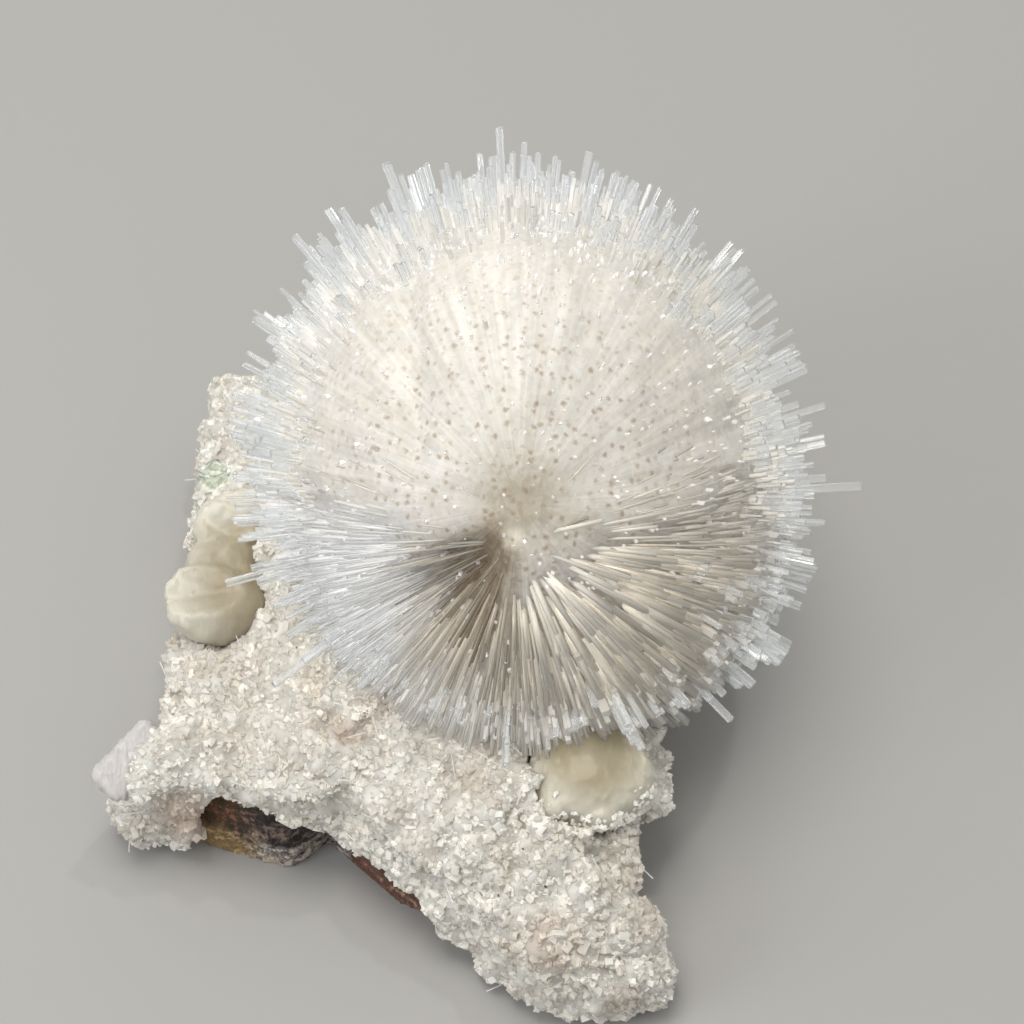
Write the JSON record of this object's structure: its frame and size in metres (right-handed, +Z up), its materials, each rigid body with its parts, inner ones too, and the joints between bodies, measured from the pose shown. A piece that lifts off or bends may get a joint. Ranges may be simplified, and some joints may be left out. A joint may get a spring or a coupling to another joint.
{
  "type": "mineral specimen of mesolite on mordenite",
  "caption": "Ball of clear, radiating mesolite needles on a white mordenite crust over basalt, with cream stilbite and a small apophyllite crystal; a loose display specimen.",
  "frame": {"origin": "on the flat underside of the basalt, straight below the point that the needles grow from", "axes": "+Z up, away from the cut underside; -Y towards the narrow front tip of the matrix, where the picture looks from; +X to the right in the picture, where the needles overhang"},
  "size_m": [0.0624, 0.0665, 0.0478],
  "materials": {
    "mesolite": "clear glassy needles, milky towards the root",
    "mordenite": "sugary white crystals with pinkish crevices",
    "basalt": "rough broken rock with ochre and red-brown weathering",
    "stilbite": "pearly cream, slightly see-through",
    "stilbite_clear": "pale glassy blade with fine striations",
    "apophyllite": "clear pale green, striated faces"
  },
  "bodies": {
    "root": {"mesolite_spray": "mesolite", "mordenite_crust": "mordenite", "basalt_matrix": "basalt", "stilbite_sheaf_left": "stilbite", "stilbite_lump_front": "stilbite", "stilbite_blade_corner": "stilbite_clear", "apophyllite_crystal": "apophyllite"}
  },
  "joints": []
}
